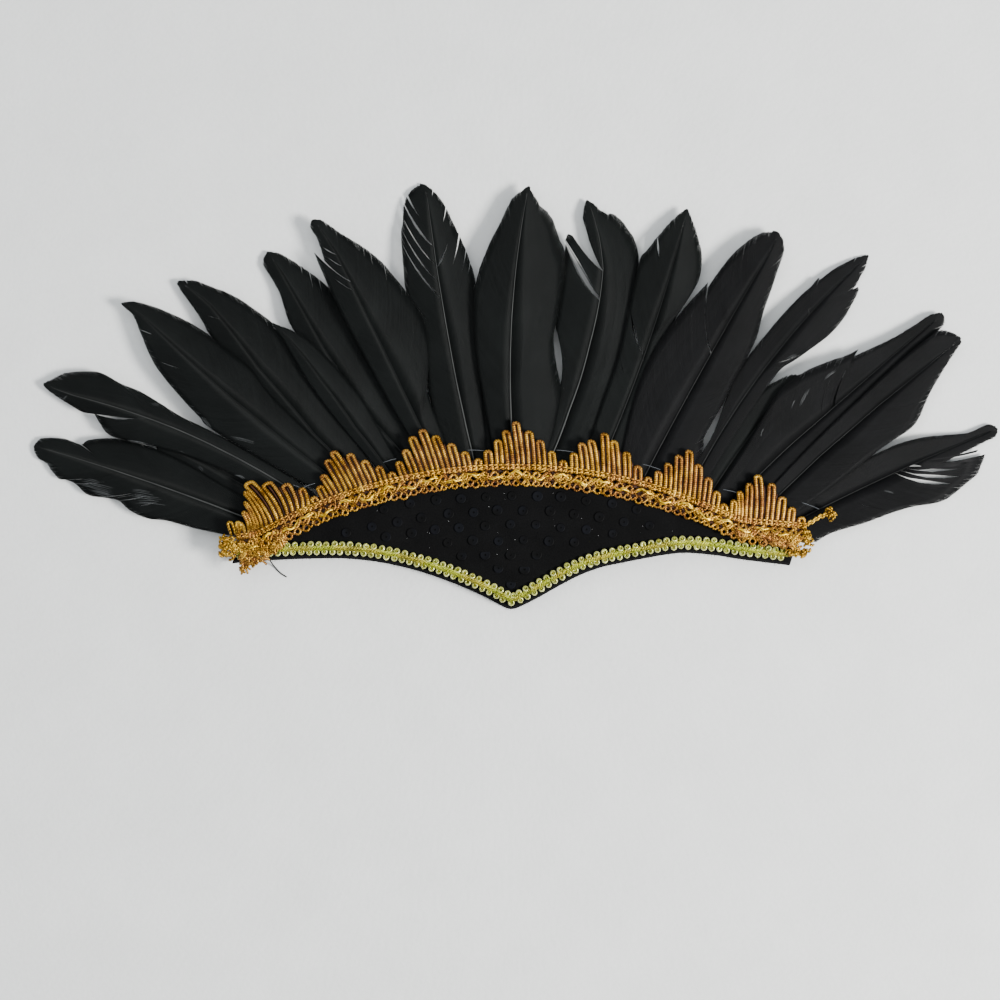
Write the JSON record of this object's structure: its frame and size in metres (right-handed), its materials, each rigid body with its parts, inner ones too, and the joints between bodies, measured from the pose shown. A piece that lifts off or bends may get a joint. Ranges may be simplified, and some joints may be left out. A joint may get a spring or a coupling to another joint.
{
  "type": "feathered headdress",
  "caption": "Forehead headdress with a fan of black goose feathers, a black V-shaped band, gold crown lace and a lime-gold bead braid, lying on its back.",
  "frame": {"origin": "centre of the bounding box, at the level of the surface that the headdress lies on", "axes": "+X along the band towards the wearer's left, +Y towards the feather tips, +Z out of the decorated front"},
  "size_m": [0.4822, 0.2112, 0.019],
  "materials": {
    "felt": "matte felt",
    "cloth": "velvety cloth with flat sequins",
    "gold_thread": "metallic wound thread",
    "beads": "glossy, pearly",
    "feather": "dyed goose feather, soft sheen"
  },
  "bodies": {
    "root": {"backing": "felt", "front_panel": "cloth", "gold_braid": "gold_thread", "bead_braid": "beads", "feather_left_1": "feather", "feather_left_2": "feather", "feather_left_3": "feather", "feather_left_4": "feather", "feather_left_5": "feather", "feather_left_6": "feather", "feather_left_7": "feather", "feather_middle_1": "feather", "feather_middle_2": "feather", "feather_middle_3": "feather", "feather_middle_4": "feather", "feather_right_1": "feather", "feather_right_2": "feather", "feather_right_3": "feather", "feather_right_4": "feather", "feather_right_5": "feather", "feather_back_1": "feather", "feather_back_2": "feather", "feather_back_3": "feather", "feather_back_4": "feather", "feather_back_5": "feather"}
  },
  "joints": []
}
